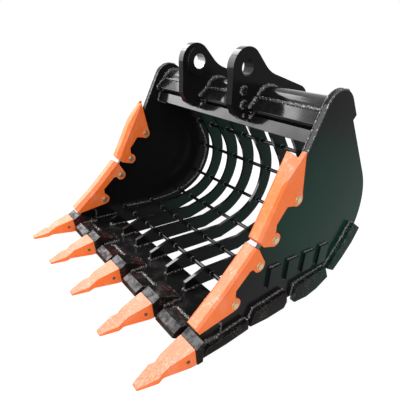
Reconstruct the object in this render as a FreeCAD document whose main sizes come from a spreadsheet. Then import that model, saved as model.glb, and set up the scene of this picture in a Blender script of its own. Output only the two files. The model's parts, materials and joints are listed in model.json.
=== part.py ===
import FreeCAD, Part
import math
import os
import Sketcher

# Skeleton rock bucket for an excavator of about 13 tonnes.
# X runs across the width, the teeth point to -Y and Z is up.
# The origin is the middle of the stick pin axis, while outlines are drawn from the
# line of the tooth pins, so that every piece is moved up and back by the same amount.

doc = FreeCAD.newDocument("rock_bucket")
sheet = doc.addObject("Spreadsheet::Sheet", "sizes")

SIZES = (
    ("width_outer", 1128.0, "outer face to outer face of the side plates"),
    ("side_thick", 20.0, "side plate"),
    ("pin_ahead", 144.4, "stick pin axis in front of the torque tube axis"),
    ("pin_over", 149.0, "stick pin axis above the torque tube axis"),
    ("floor_top", 6.0, "height of the lip's upper face above the tooth pins"),
    ("lip_thick", 28.0, "lip plate"),
    ("lip_front", 62.0, "front edge of the lip plate"),
    ("lip_rear", 300.0, "rear edge of the lip plate"),
    ("lip_bevel", 14.0, "bevel on the front of the lip plate"),
    ("heel_back", 692.0, "centre of the heel curve, along Y"),
    ("heel_rise", 338.0, "centre of the heel curve, along Z"),
    ("side_curve", 299.0, "heel radius of the side plates"),
    ("rib_curve", 305.0, "outer heel radius of the ribs"),
    ("belly_angle", 17.9, "slope of the belly in degrees"),
    ("back_angle", 36.7, "lean of the back from upright in degrees"),
    ("rib_deep", 76.0, "depth of a rib"),
    ("rib_thick", 16.0, "thickness of a rib"),
    ("rib_nose", 208.0, "front end of a rib"),
    ("rib_nose_tall", 40.0, "height of a rib's front face"),
    ("rib_nose_long", 98.0, "length of a rib's sloping nose"),
    ("rod_radius", 10.0, "cross rod"),
    ("rod_front", 350.0, "first cross rod along Y"),
    ("rod_second", 537.0, "second cross rod along Y"),
    ("rod_third_angle", -77.0, "third cross rod, degrees round the heel"),
    ("rod_step_angle", 41.0, "next cross rods, degrees round the heel"),
    ("dome_ahead", 29.0, "centre of the side plate's dome in front of the tube axis"),
    ("dome_over", 19.0, "centre of the dome above the tube axis"),
    ("dome_radius", 93.0, "radius of the dome"),
    ("lead_angle", 23.3, "lean of the leading edge under the dome, degrees"),
    ("step_over", 15.0, "step behind the dome, above the tube axis"),
    ("step_tall", 18.0, "height of the step itself"),
    ("lead_top_drop", 139.0, "where the leading edge first bends, below the tube axis"),
    ("lead_mid_back", 322.0, "second bend of the leading edge, Y"),
    ("lead_mid_rise", 322.0, "second bend of the leading edge, Z"),
    ("lead_low_back", 182.0, "third bend of the leading edge, Y"),
    ("lead_low_rise", 170.0, "third bend of the leading edge, Z"),
    ("lead_nose_back", 112.0, "front corner of the side plate, Y"),
    ("lead_nose_rise", 104.0, "front corner of the side plate, Z"),
    ("lead_foot_back", 165.0, "foot of the leading edge on the lip"),
    ("lead_foot_rise", 54.0, "height where the front corner ends"),
    ("tube_inset", 72.0, "torque tube axis in front of the back line, along Y"),
    ("tube_rise", 756.0, "torque tube axis along Z"),
    ("tube_radius", 78.0, "outside radius of the torque tube"),
    ("tube_wall", 14.0, "wall of the torque tube"),
    ("beam_ahead", 31.0, "lower front corner of the mouth beam in front of the tube"),
    ("beam_under", 12.0, "lower front corner of the mouth beam below the tube"),
    ("beam_face", 50.0, "height of the mouth beam's front face"),
    ("beam_angle", 16.3, "lean of that face from upright, degrees"),
    ("beam_deep", 50.0, "depth of the beam's lower flange"),
    ("beam_recess", 21.0, "depth of the recess over the face"),
    ("beam_recess_top", 6.0, "depth of the recess under the upper flange"),
    ("beam_gap", 26.0, "height of the recess"),
    ("brow_ahead", 40.0, "front corner of the upper flange in front of the tube"),
    ("brow_under", 15.0, "front corner of the upper flange below the tube axis"),
    ("brow_long", 70.0, "length of the upper flange up its slope"),
    ("brow_thick", 18.0, "thickness of the upper flange"),
    ("wrap_thick", 14.0, "back plate under the torque tube"),
    ("wrap_drop", 151.0, "lower edge of the back plate below the tube axis"),
    ("ear_mid", 171.0, "centre of an ear from the middle"),
    ("ear_thick", 34.0, "thickness of an ear"),
    ("ear_front_radius", 80.0, "front lobe of an ear"),
    ("ear_rear_radius", 79.0, "rear lobe of an ear"),
    ("link_back", 346.0, "stick pin to link pin along Y"),
    ("link_drop", 148.0, "stick pin to link pin along Z"),
    ("pin_radius", 32.5, "pin bore radius"),
    ("ear_foot_out", 107.0, "ear foot in front of the mouth beam"),
    ("ear_foot_up", 94.0, "start of the ear's rounded foot above the beam"),
    ("ear_heel_drop", 101.0, "lower rear end of an ear below the tube axis"),
    ("boss_radius", 64.0, "boss on the inner face of an ear"),
    ("boss_thick", 22.0, "thickness of the boss"),
    ("tooth_inset", 4.0, "outer teeth inside the side plates' outer faces"),
    ("tooth_tip", 180.0, "tip in front of the tooth pins"),
    ("tooth_tip_drop", 37.0, "lowest point of the tip"),
    ("tooth_tip_tall", 9.0, "height of the blunt tip"),
    ("tooth_back", 24.0, "rear edge of the tooth at the top"),
    ("tooth_rake", 13.0, "how far the rear face runs back at the foot"),
    ("tooth_top", 43.0, "top of the tooth over the pins"),
    ("tooth_low", 33.0, "underside of the tooth below the pins"),
    ("tooth_half", 42.0, "half width of the tooth at the pins"),
    ("tooth_waist", 27.0, "half width behind the chisel"),
    ("tooth_wing", 34.0, "half width of the chisel's shoulders"),
    ("tooth_edge", 13.0, "half width of the tip"),
    ("tooth_chamfer", 9.0, "chamfer along the upper edges"),
    ("tooth_seat", 1.5, "gap between tooth and adapter shoulder"),
    ("nose_root", 46.0, "root of the adapter nose behind the pins"),
    ("nose_half", 27.0, "half width of the adapter nose at its root"),
    ("nose_tall", 24.0, "half height of the adapter nose at its root"),
    ("nose_end_half", 15.0, "half width of the nose at its end"),
    ("nose_end_tall", 9.0, "half height of the nose at its end"),
    ("nose_end", 78.0, "end of the nose in front of the pins"),
    ("tooth_pin_radius", 7.0, "tooth pin"),
    ("adapter_half", 45.0, "half width of an adapter"),
    ("shoulder_rise", 60.0, "height of the adapter's shoulder"),
    ("shoulder_back", 58.0, "top of the shoulder"),
    ("strap_back", 158.0, "rear end of the adapter's straps"),
    ("strap_end", 20.0, "height of the upper strap's rear end"),
    ("sole_thick", 10.0, "lower strap of the adapters and shrouds"),
    ("shroud_half", 60.0, "half width of a lip shroud"),
    ("shroud_nose", 15.0, "front foot of a lip shroud"),
    ("shroud_foot", 2.0, "the front foot's edge below the tooth pins"),
    ("shroud_nose_top", 16.0, "height of the front edge of a lip shroud"),
    ("shroud_brow_back", 53.0, "top rear edge of the sloping face, Y"),
    ("shroud_brow_rise", 34.0, "top rear edge of the sloping face, Z"),
    ("shroud_back", 118.0, "rear end of a lip shroud"),
    ("shroud_end", 12.0, "height of the shroud's rear end"),
    ("guard_outer", 25.0, "protector, reach outwards from the middle of the side plate"),
    ("guard_outer_bevel", 9.0, "bevel along its outer front edge"),
    ("guard_lug_back", 34.0, "outer top corner of the upper protector, behind its tip"),
    ("guard_lug_rise", 11.0, "the same, above its tip"),
    ("guard_brow_ahead", 60.0, "bend of the upper protector's front, ahead of its tip"),
    ("guard_brow_under", 102.0, "the same, below its tip"),
    ("guard_low_scallop_back", 46.0, "lower scallop, upper corner ahead of the bolt"),
    ("guard_low_scallop_drop", 8.0, "the same, below the bolt"),
    ("guard_low_scallop_wall", 3.0, "lower scallop, lower corner ahead of the bolt"),
    ("guard_top_scallop_back", 54.0, "upper scallop, upper corner ahead of the bolt"),
    ("guard_top_scallop_wall", 5.0, "upper scallop, lower corner ahead of the bolt"),
    ("guard_scallop_rise", 62.0, "lower corner of a scallop over the bolt"),
    ("guard_top_reach", 1.4, "run of the slanted top towards the inner face"),
    ("guard_half", 40.0, "half width of a side protector"),
    ("guard_front", 42.0, "casting in front of the leading edge"),
    ("bolt_radius", 8.0, "protector bolt shank"),
    ("bolt_head", 12.5, "protector bolt head radius"),
    ("bolt_head_tall", 8.0, "height of a bolt head"),
    ("bolt_clear", 0.5, "clearance round a bolt shank"),
    ("bolt_one_back", 214.0, "lowest protector bolt, Y"),
    ("bolt_one_rise", 127.0, "lowest protector bolt, Z"),
    ("bolt_two_back", 318.0, "second protector bolt, Y"),
    ("bolt_two_rise", 257.0, "second protector bolt, Z"),
    ("bolt_three_back", 382.0, "third protector bolt, Y"),
    ("bolt_three_rise", 346.0, "third protector bolt, Z"),
    ("bolt_four_back", 475.0, "highest protector bolt, Y"),
    ("bolt_four_rise", 486.0, "highest protector bolt, Z"),
    ("guard_gap", 22.0, "space between the two protectors of a side"),
    ("guard_nose_back", 42.0, "lower end of the lower protector, Y"),
    ("guard_nose_rise", 98.0, "lower end of the lower protector, Z"),
    ("guard_nose_drop", 27.0, "height of that end"),
    ("guard_tip_ahead", 43.0, "upper end of the upper protector, in front of the bend"),
    ("guard_tip_over", 35.0, "upper end of the upper protector, above the bend"),
    ("guard_flange", 56.0, "depth of the flanges between the bolt ears"),
    ("guard_bevel", 18.0, "bevel along the front of a protector"),
    ("guard_ear", 27.0, "radius of a protector's bolt ear"),
    ("wear_half", 30.0, "half width of a wear pad"),
    ("wear_low", 122.0, "lower edge of the wear pads"),
    ("wear_high", 214.0, "upper edge of the wear pads"),
    ("wear_first", 424.0, "centre of the first wear pad"),
    ("wear_step", 106.0, "wear pad to wear pad"),
    ("wear_thick", 12.0, "thickness of a wear pad"),
    ("heel_thick", 28.0, "thickness of a heel shroud"),
    ("heel_one_front", 66.0, "first heel shroud, front end"),
    ("heel_one_rear", 296.0, "first heel shroud, rear end"),
    ("heel_two_front", 303.0, "second heel shroud, front end"),
    ("heel_two_rear", 505.0, "second heel shroud, rear end"),
    ("heel_three_front", 571.0, "third heel shroud, front end"),
    ("heel_three_rear", 166.0, "third heel shroud, rear end past the kink"),
    ("heel_four_low_angle", -63.0, "fourth heel shroud, lower end round the heel"),
    ("heel_four_top_angle", -18.0, "fourth heel shroud, upper end round the heel"),
    ("heel_drop", 24.0, "reach of the heel shrouds below the plate"),
    ("heel_corner", 18.0, "the same at their ends"),
    ("heel_cover", 64.0, "cover of the heel shrouds over the plate"),
    ("heel_slant", 14.0, "slant of their ends"),
)

for row, (alias, value, meaning) in enumerate(SIZES, start=1):
    sheet.set("A%d" % row, meaning)
    sheet.set("B%d" % row, str(value))
    sheet.setAlias("B%d" % row, alias)
doc.recompute()


class Size:
    """A number together with the sheet expression that gives it."""

    def __init__(self, value, text):
        self.value = float(value)
        self.text = text

    @staticmethod
    def of(other):
        if isinstance(other, Size):
            return other
        return Size(other, "(%r)" % float(other))

    def __add__(self, other):
        other = Size.of(other)
        return Size(self.value + other.value, "(%s + %s)" % (self.text, other.text))

    def __sub__(self, other):
        other = Size.of(other)
        return Size(self.value - other.value, "(%s - %s)" % (self.text, other.text))

    def __mul__(self, other):
        other = Size.of(other)
        return Size(self.value * other.value, "(%s * %s)" % (self.text, other.text))

    def __truediv__(self, other):
        other = Size.of(other)
        return Size(self.value / other.value, "(%s / %s)" % (self.text, other.text))

    def __radd__(self, other):
        return Size.of(other) + self

    def __rsub__(self, other):
        return Size.of(other) - self

    def __rmul__(self, other):
        return Size.of(other) * self

    def __neg__(self):
        return Size(-self.value, "(0 - %s)" % self.text)


def size(alias):
    return Size(getattr(sheet, alias), "sizes.%s" % alias)


def cosine(angle):
    angle = Size.of(angle)
    return Size(math.cos(math.radians(angle.value)), "cos(%s * 1 deg)" % angle.text)


def sine(angle):
    angle = Size.of(angle)
    return Size(math.sin(math.radians(angle.value)), "sin(%s * 1 deg)" % angle.text)


def tangent(angle):
    angle = Size.of(angle)
    return Size(math.tan(math.radians(angle.value)), "tan(%s * 1 deg)" % angle.text)


def bind(item, path, amount):
    item.setExpression(path, Size.of(amount).text)


def make_body(label, across):
    """A body whose own X zero lies at "across" and whose Y and Z start at the tooth pins."""
    body = doc.addObject("PartDesign::Body", label)
    body.Label = label
    bind(body, "Placement.Base.x", across)
    bind(body, "Placement.Base.y", -STICK[0])
    bind(body, "Placement.Base.z", -STICK[1])
    return body


def attach(body, sketch, role, offset):
    planes = [item for item in body.Origin.OriginFeatures if item.Role == role]
    sketch.AttachmentSupport = [(planes[0], "")]
    sketch.MapMode = "FlatFace"
    if offset is not None:
        bind(sketch, "AttachmentOffset.Base.z", offset)


def fix_point(sketch, item, end, across, along):
    for kind, amount in (("DistanceX", across), ("DistanceY", along)):
        amount = Size.of(amount)
        number = sketch.addConstraint(
            Sketcher.Constraint(kind, -1, 1, item, end, amount.value))
        sketch.setExpression("Constraints[%d]" % number, amount.text)


def polygon(body, name, corners, role="YZ_Plane", offset=None):
    sketch = body.newObject("Sketcher::SketchObject", name)
    attach(body, sketch, role, offset)
    points = [FreeCAD.Vector(Size.of(a).value, Size.of(b).value, 0) for a, b in corners]
    count = len(points)
    for index in range(count):
        sketch.addGeometry(Part.LineSegment(points[index], points[(index + 1) % count]))
    for index in range(count):
        sketch.addConstraint(
            Sketcher.Constraint("Coincident", index, 2, (index + 1) % count, 1))
    for index, (a, b) in enumerate(corners):
        fix_point(sketch, index, 1, a, b)
    return sketch


def circles(body, name, centres, radius, role="YZ_Plane", offset=None):
    sketch = body.newObject("Sketcher::SketchObject", name)
    attach(body, sketch, role, offset)
    radius = Size.of(radius)
    for index, (a, b) in enumerate(centres):
        middle = FreeCAD.Vector(Size.of(a).value, Size.of(b).value, 0)
        sketch.addGeometry(Part.Circle(middle, FreeCAD.Vector(0, 0, 1), radius.value))
        fix_point(sketch, index, 3, a, b)
        number = sketch.addConstraint(Sketcher.Constraint("Radius", index, radius.value))
        sketch.setExpression("Constraints[%d]" % number, radius.text)
    return sketch


def pad(body, sketch, length, middle=False):
    feature = body.newObject("PartDesign::Pad", sketch.Name + "_pad")
    feature.Profile = sketch
    feature.SideType = "Symmetric" if middle else "One side"
    bind(feature, "Length", length)
    sketch.Visibility = False
    return feature


def cut(body, sketch):
    """Cut a sketch right through, both ways."""
    feature = body.newObject("PartDesign::Pocket", sketch.Name + "_cut")
    feature.Profile = sketch
    feature.SideType = "Symmetric"
    feature.Type = "ThroughAll"
    sketch.Visibility = False
    return feature


def round_corners(body, corners, radius, name):
    """Round the edges that run across the width at the given corners."""
    doc.recompute()
    base = body.Tip
    wanted = [(Size.of(a).value, Size.of(b).value) for a, b in corners]
    edges = []
    for index, edge in enumerate(base.Shape.Edges, start=1):
        ends = [vertex.Point for vertex in edge.Vertexes]
        for a, b in wanted:
            if len(ends) == 2 and all(math.hypot(p.y - a, p.z - b) < 0.05 for p in ends):
                edges.append("Edge%d" % index)
    if len(edges) != len(wanted):
        raise RuntimeError("%s: %d corners, %d edges" % (name, len(wanted), len(edges)))
    feature = body.newObject("PartDesign::Fillet", name)
    feature.Base = (base, edges)
    bind(feature, "Radius", radius)
    return feature


# Shared outlines.

HALF = size("width_outer") / 2
INNER = HALF - size("side_thick")
PITCH = size("width_outer") / 8
LEAN = size("back_angle")
RISE = size("belly_angle")
TOOTH_PITCH = (HALF - size("tooth_inset")) / 2
FLOOR = size("floor_top")


def heel(radius, low):
    """Kink and corner of the line that wraps the heel at this radius."""
    kink = (size("heel_back") + radius * sine(RISE)
            - (size("heel_rise") - radius * cosine(RISE) - low) / tangent(RISE))
    middle = (RISE - 90 + LEAN) / 2
    reach = radius / cosine((90 + LEAN - RISE) / 2)
    corner = (size("heel_back") + reach * cosine(middle),
              size("heel_rise") + reach * sine(middle))
    return (kink, low), corner


def back_at(radius, height):
    """Point of the back line at a height."""
    return (size("heel_back") + radius * cosine(LEAN)
            - (height - size("heel_rise") - radius * sine(LEAN)) * tangent(LEAN), height)


def polar(radius, angle):
    return (size("heel_back") + radius * cosine(angle),
            size("heel_rise") + radius * sine(angle))


SIDE = size("side_curve")
RIB = size("rib_curve")
TUBE = (back_at(SIDE, size("tube_rise"))[0] - size("tube_inset"), size("tube_rise"))
STICK = (TUBE[0] - size("pin_ahead"), TUBE[1] + size("pin_over"))
LINK = (STICK[0] + size("link_back"), STICK[1] - size("link_drop"))
DOME = (TUBE[0] - size("dome_ahead"), TUBE[1] + size("dome_over"))
TUBE_FRONT = TUBE[0] - size("tube_radius")
WRAP_LOW = TUBE[1] - size("wrap_drop")
LEAD_TOP_RISE = TUBE[1] - size("lead_top_drop")
BEAM_FOOT = (TUBE_FRONT - size("beam_ahead"),
             TUBE[1] - size("tube_radius") - size("beam_under"))


def beam_corners():
    tilt = size("beam_angle")
    foot = BEAM_FOOT
    brow = (TUBE_FRONT - size("brow_ahead"), TUBE[1] - size("brow_under"))
    up = (sine(tilt), cosine(tilt))
    into = (cosine(tilt), -sine(tilt))
    half = sine(45)

    def off(point, direction, amount):
        return (point[0] + direction[0] * amount, point[1] + direction[1] * amount)

    top = off(foot, up, size("beam_face"))
    recess_low = off(top, into, size("beam_recess"))
    recess_high = off(off(top, into, size("beam_recess_top")), up, size("beam_gap"))
    slope = (half, half)
    down = (half, -half)
    return [
        foot,
        top,
        recess_low,
        recess_high,
        off(brow, down, size("brow_thick")),
        brow,
        off(brow, slope, size("brow_long")),
        off(TUBE, (Size.of(0), Size.of(1)), size("tube_radius") * 0.1),
        off(TUBE, (Size.of(0), Size.of(-1)), size("tube_radius") * 0.85),
        off(foot, into, size("beam_deep")),
    ]


# Leading edge and protector bolts.

LEAD_MID = (size("lead_mid_back"), size("lead_mid_rise"))
LEAD_LOW = (size("lead_low_back"), size("lead_low_rise"))
LEAD_NOSE = (size("lead_nose_back"), size("lead_nose_rise"))
BOLTS = [
    (size("bolt_%s_back" % word), size("bolt_%s_rise" % word))
    for word in ("one", "two", "three", "four")
]


def lead_top_point():
    lead = size("lead_angle")
    radius = size("dome_radius")
    return (DOME[0] - radius * cosine(lead)
            - (DOME[1] + radius * sine(lead) - LEAD_TOP_RISE) * tangent(lead),
            LEAD_TOP_RISE)


LEAD_TOP = lead_top_point()


# Side plates with their wear pads.

def side_plate(label, inner_face, wear_start):
    kink, corner = heel(SIDE, FLOOR)
    step_rise = TUBE[1] + size("step_over")
    step_low = back_at(SIDE, step_rise - size("step_tall"))
    radius = size("dome_radius")
    dome_side = (DOME[0] + radius * cosine(LEAN)
                 - (step_rise - DOME[1] - radius * sine(LEAN)) * tangent(LEAN), step_rise)
    lead = size("lead_angle")
    reach = radius / cosine((180 - LEAN - lead) / 2)
    turn = (180 + LEAN - lead) / 2
    dome_top = (DOME[0] + reach * cosine(turn), DOME[1] + reach * sine(turn))
    corners = [
        (size("lead_foot_back"), FLOOR),
        kink,
        corner,
        step_low,
        dome_side,
        dome_top,
        LEAD_TOP,
        LEAD_MID,
        LEAD_LOW,
        LEAD_NOSE,
        (size("lead_foot_back"), size("lead_foot_rise")),
    ]
    body = make_body(label, inner_face)
    pad(body, polygon(body, label + "_outline", corners), size("side_thick"))
    round_corners(body, [corner], SIDE, label + "_heel")
    round_corners(body, [dome_top], radius, label + "_dome")
    for number in range(4):
        middle = size("wear_first") + size("wear_step") * number
        box = [
            (middle - size("wear_half"), size("wear_low")),
            (middle + size("wear_half"), size("wear_low")),
            (middle + size("wear_half"), size("wear_high")),
            (middle - size("wear_half"), size("wear_high")),
        ]
        name = "%s_wear_%d" % (label, number + 1)
        pad(body, polygon(body, name, box, offset=wear_start), size("wear_thick"))
    cut(body, circles(body, label + "_bolts", BOLTS, size("bolt_radius")))
    return body


side_plate("side_plate_right", INNER, size("side_thick"))
side_plate("side_plate_left", -HALF, -size("wear_thick"))


# Torque tube, mouth beam and back plate.

tube = make_body("torque_tube", -INNER)
pad(tube, circles(tube, "tube_round", [TUBE], size("tube_radius")), INNER * 2)
cut(tube, circles(tube, "tube_hollow", [TUBE], size("tube_radius") - size("tube_wall")))

beam = make_body("mouth_beam", -INNER)
pad(beam, polygon(beam, "beam_outline", beam_corners()), INNER * 2)
cut(beam, circles(beam, "beam_cope", [TUBE], size("tube_radius")))


def wrap_point(height, inset):
    y, z = back_at(SIDE, height)
    return (y - inset / cosine(LEAN), z)


wrap_top = TUBE[1] - size("tube_radius") * 0.1
wrap = make_body("back_plate", -INNER)
wrap_corners = [
    wrap_point(WRAP_LOW, Size.of(0)),
    wrap_point(wrap_top, Size.of(0)),
    wrap_point(wrap_top, size("wrap_thick")),
    wrap_point(WRAP_LOW, size("wrap_thick")),
]
pad(wrap, polygon(wrap, "wrap_outline", wrap_corners), INNER * 2)
cut(wrap, circles(wrap, "wrap_cope", [TUBE], size("tube_radius")))


# Ears.

def ear_corners():
    front = size("ear_front_radius")
    rear = size("ear_rear_radius")
    brow = (STICK[0] + front * cosine(48), STICK[1] + front * sine(48))
    far = (LINK[0] + rear * cosine(76), LINK[1] + rear * sine(76))
    slope = tangent(42)
    fall = tangent(14)
    # the two straight top edges meet here
    run = (brow[1] - far[1] - (far[0] - brow[0]) * fall) / (slope - fall)
    saddle = (brow[0] + run, brow[1] - run * slope)
    foot = (BEAM_FOOT[0] - size("ear_foot_out"), BEAM_FOOT[1] + size("ear_foot_up"))
    heel_rise = TUBE[1] - size("ear_heel_drop")
    return [
        (STICK[0] - front, STICK[1]),
        (STICK[0] - front + 6, STICK[1] - front),
        foot,
        (foot[0] + 26, foot[1] - 42),
        (foot[0] + 72, foot[1] - 66),
        (foot[0] + 130, foot[1] - 66),
        (foot[0] + 172, foot[1] - 46),
        (TUBE[0], TUBE[1]),
        wrap_point(wrap_top, Size.of(0)),
        wrap_point(heel_rise, Size.of(0)),
        (LINK[0] + 12, heel_rise + 10),
        (LINK[0] + rear * cosine(-45), LINK[1] + rear * sine(-45)),
        far,
        saddle,
        brow,
    ], saddle


def ear(label, left_face, boss_start):
    body = make_body(label, left_face)
    corners, saddle = ear_corners()
    thick = size("ear_thick")
    pad(body, polygon(body, label + "_outline", corners), thick)
    round_corners(body, [saddle], size("ear_front_radius") * 2, label + "_saddle")
    pad(body, circles(body, label + "_stick_lobe", [STICK], size("ear_front_radius")), thick)
    pad(body, circles(body, label + "_link_lobe", [LINK], size("ear_rear_radius")), thick)
    bosses = circles(body, label + "_bosses", [STICK, LINK], size("boss_radius"),
                     offset=boss_start)
    pad(body, bosses, size("boss_thick"))
    cut(body, polygon(body, label + "_beam_notch", beam_corners()))
    cut(body, circles(body, label + "_tube_hole", [TUBE], size("tube_radius")))
    cut(body, circles(body, label + "_bores", [STICK, LINK], size("pin_radius")))
    return body


ear_half = size("ear_thick") / 2
ear("ear_right", size("ear_mid") - ear_half, -size("boss_thick"))
ear("ear_left", -size("ear_mid") - ear_half, size("ear_thick"))


# Ribs and cross rods.

MID_DEEP = size("rib_deep") / 2
RODS = [
    (size("rod_front"), FLOOR + MID_DEEP),
    (size("rod_second"), FLOOR + MID_DEEP),
    polar(RIB - MID_DEEP, size("rod_third_angle")),
    polar(RIB - MID_DEEP, size("rod_third_angle") + size("rod_step_angle")),
    polar(RIB - MID_DEEP, size("rod_third_angle") + size("rod_step_angle") * 2),
    polar(RIB - MID_DEEP, size("rod_third_angle") + size("rod_step_angle") * 3),
]


def rib(label, middle):
    deep = size("rib_deep")
    kink, corner = heel(RIB, FLOOR)
    inner_kink, inner_corner = heel(RIB - deep, FLOOR + deep)
    nose = size("rib_nose")
    low = WRAP_LOW
    corners = [
        (nose, FLOOR),
        kink,
        corner,
        back_at(RIB, low),
        wrap_point(low, size("wrap_thick")),
        wrap_point(wrap_top, size("wrap_thick")),
        TUBE,
        back_at(RIB - deep, TUBE[1] - size("tube_radius") * 0.9),
        inner_corner,
        inner_kink,
        (nose + size("rib_nose_long"), FLOOR + deep),
        (nose, FLOOR + size("rib_nose_tall")),
    ]
    body = make_body(label, middle - size("rib_thick") / 2)
    pad(body, polygon(body, label + "_outline", corners), size("rib_thick"))
    round_corners(body, [corner], RIB, label + "_heel")
    round_corners(body, [inner_corner], RIB - deep, label + "_hollow")
    cut(body, circles(body, label + "_tube_cope", [TUBE], size("tube_radius")))
    cut(body, circles(body, label + "_rod_holes", RODS, size("rod_radius")))
    return body


for number in range(7):
    rib("rib_%d" % (number + 1), PITCH * (number - 3))

for number, place in enumerate(RODS, start=1):
    rod = make_body("cross_rod_%d" % number, -INNER)
    pad(rod, circles(rod, "rod_round_%d" % number, [place], size("rod_radius")), INNER * 2)


# Lip plate.

lip_low = FLOOR - size("lip_thick")
lip = make_body("lip_plate", -HALF)
lip_corners = [
    (size("lip_front"), lip_low),
    (size("lip_rear"), lip_low),
    (size("lip_rear"), FLOOR),
    (size("lip_front") + size("lip_bevel"), FLOOR),
    (size("lip_front"), FLOOR - size("lip_bevel")),
]
pad(lip, polygon(lip, "lip_outline", lip_corners), HALF * 2)


# Adapters, teeth and tooth pins.

def box_section(half, low, high):
    return [(-half, low), (half, low), (half, high), (-half, high)]


def nose_loft(body, name, subtract):
    """The tapered nose from the tooth's rear to its end."""
    root = polygon(body, name + "_root", box_section(
        size("nose_half"), -size("nose_tall"), size("nose_tall")),
        role="XZ_Plane", offset=-size("nose_root"))
    end = polygon(body, name + "_end", box_section(
        size("nose_end_half"), -size("nose_end_tall") - 14, size("nose_end_tall") - 14),
        role="XZ_Plane", offset=size("nose_end"))
    kind = "PartDesign::SubtractiveLoft" if subtract else "PartDesign::AdditiveLoft"
    feature = body.newObject(kind, name + "_loft")
    feature.Profile = root
    feature.Sections = [end]
    feature.Ruled = True
    return feature


def adapter(label, middle, outboard):
    body = make_body(label, middle)
    sole = lip_low - size("sole_thick")
    seat = size("tooth_back") + size("tooth_seat")
    corners = [
        (seat + size("tooth_rake"), -size("tooth_low")),
        (seat + size("tooth_rake") + 12, sole),
        (size("strap_back"), sole),
        (size("strap_back"), lip_low),
        (size("lip_front"), lip_low),
        (size("lip_front"), FLOOR - size("lip_bevel")),
        (size("lip_front") + size("lip_bevel"), FLOOR),
        (size("strap_back"), FLOOR),
        (size("strap_back"), size("strap_end")),
        (size("shoulder_back"), size("shoulder_rise")),
        (seat + 2, size("tooth_top") - 4),
    ]
    half = size("adapter_half")
    pad(body, polygon(body, label + "_outline", corners), half * 2, middle=True)
    nose_loft(body, label + "_nose", False)
    if outboard:
        side = size("tooth_inset") * outboard
        notch = [
            (side, size("lip_front")),
            (half * outboard * 1.1, size("lip_front")),
            (half * outboard * 1.1, size("strap_back") * 1.1),
            (side, size("strap_back") * 1.1),
        ]
        cut(body, polygon(body, label + "_notch", notch, role="XY_Plane"))
    cut(body, circles(body, label + "_pin_hole", [(Size.of(0), Size.of(0))],
                      size("tooth_pin_radius")))
    return body


def tooth(label, middle):
    body = make_body(label, middle)
    tip = -size("tooth_tip")
    low = -size("tooth_low")
    tip_low = -size("tooth_tip_drop")
    back = size("tooth_back")
    corners = [
        (tip, tip_low),
        (tip * 0.45, low + 6),
        (back + size("tooth_rake"), low),
        (back, size("tooth_top")),
        (tip * 0.38, size("tooth_top") * 0.34),
        (tip * 0.5, -2),
        (tip, tip_low + size("tooth_tip_tall")),
    ]
    half = size("tooth_half")
    pad(body, polygon(body, label + "_outline", corners), half * 2, middle=True)
    for side, word in ((1, "right"), (-1, "left")):
        plan = [
            (side * half * 1.2, back + size("tooth_rake") + 5),
            (side * half, back + size("tooth_rake") + 5),
            (side * half, Size.of(12)),
            (side * size("tooth_waist"), tip * 0.5),
            (side * size("tooth_wing"), tip * 0.62),
            (side * size("tooth_edge"), tip - 2),
            (side * half * 1.2, tip - 2),
        ]
        flank = polygon(body, "%s_flank_%s" % (label, word), plan, role="XY_Plane")
        cut(body, flank)
    nose_loft(body, label + "_socket", True)
    cut(body, circles(body, label + "_pin_hole", [(Size.of(0), Size.of(0))],
                      size("tooth_pin_radius")))
    return body


for number in range(5):
    place = TOOTH_PITCH * (number - 2)
    adapter("adapter_%d" % (number + 1), place, {0: -1, 4: 1}.get(number, 0))
    tooth("tooth_%d" % (number + 1), place)
    pin = make_body("tooth_pin_%d" % (number + 1), place)
    pad(pin, circles(pin, "tooth_pin_round_%d" % (number + 1), [(Size.of(0), Size.of(0))],
                     size("tooth_pin_radius")), size("tooth_half") * 2, middle=True)


# Lip shrouds between the adapters.

def lip_shroud(label, middle):
    body = make_body(label, middle)
    sole = lip_low - size("sole_thick")
    corners = [
        (size("shroud_nose"), -size("shroud_foot")),
        (size("shroud_nose") + 46, sole),
        (size("shroud_back"), sole),
        (size("shroud_back"), lip_low),
        (size("lip_front"), lip_low),
        (size("lip_front"), FLOOR - size("lip_bevel")),
        (size("lip_front") + size("lip_bevel"), FLOOR),
        (size("shroud_back"), FLOOR),
        (size("shroud_back"), size("shroud_end")),
        (size("shroud_brow_back"), size("shroud_brow_rise")),
        (size("shroud_nose") + 8, size("shroud_nose_top")),
    ]
    pad(body, polygon(body, label + "_outline", corners), size("shroud_half") * 2,
        middle=True)
    return body


for number in range(4):
    lip_shroud("lip_shroud_%d" % (number + 1), TOOTH_PITCH * (number - 1.5))


# Side protectors and their bolts.

def bevel(body, points, amount, name, sign):
    """Bevel the edges of an outline that join the given points, on the face of one side."""
    doc.recompute()
    base = body.Tip
    wanted = [(Size.of(a).value, Size.of(b).value) for a, b in points]
    edges = []
    for index, edge in enumerate(base.Shape.Edges, start=1):
        ends = [vertex.Point for vertex in edge.Vertexes]
        if len(ends) != 2 or abs(ends[0].x - ends[1].x) > 0.05 or ends[0].x * sign < 0:
            continue
        near = [any(math.hypot(p.y - a, p.z - b) < 0.05 for a, b in wanted) for p in ends]
        if all(near):
            edges.append("Edge%d" % index)
    if len(edges) != len(wanted) - 1:
        raise RuntimeError("%s: %d points, %d edges" % (name, len(wanted), len(edges)))
    feature = body.newObject("PartDesign::Chamfer", name)
    feature.Base = (base, edges)
    bind(feature, "Size", amount)
    return feature


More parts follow.
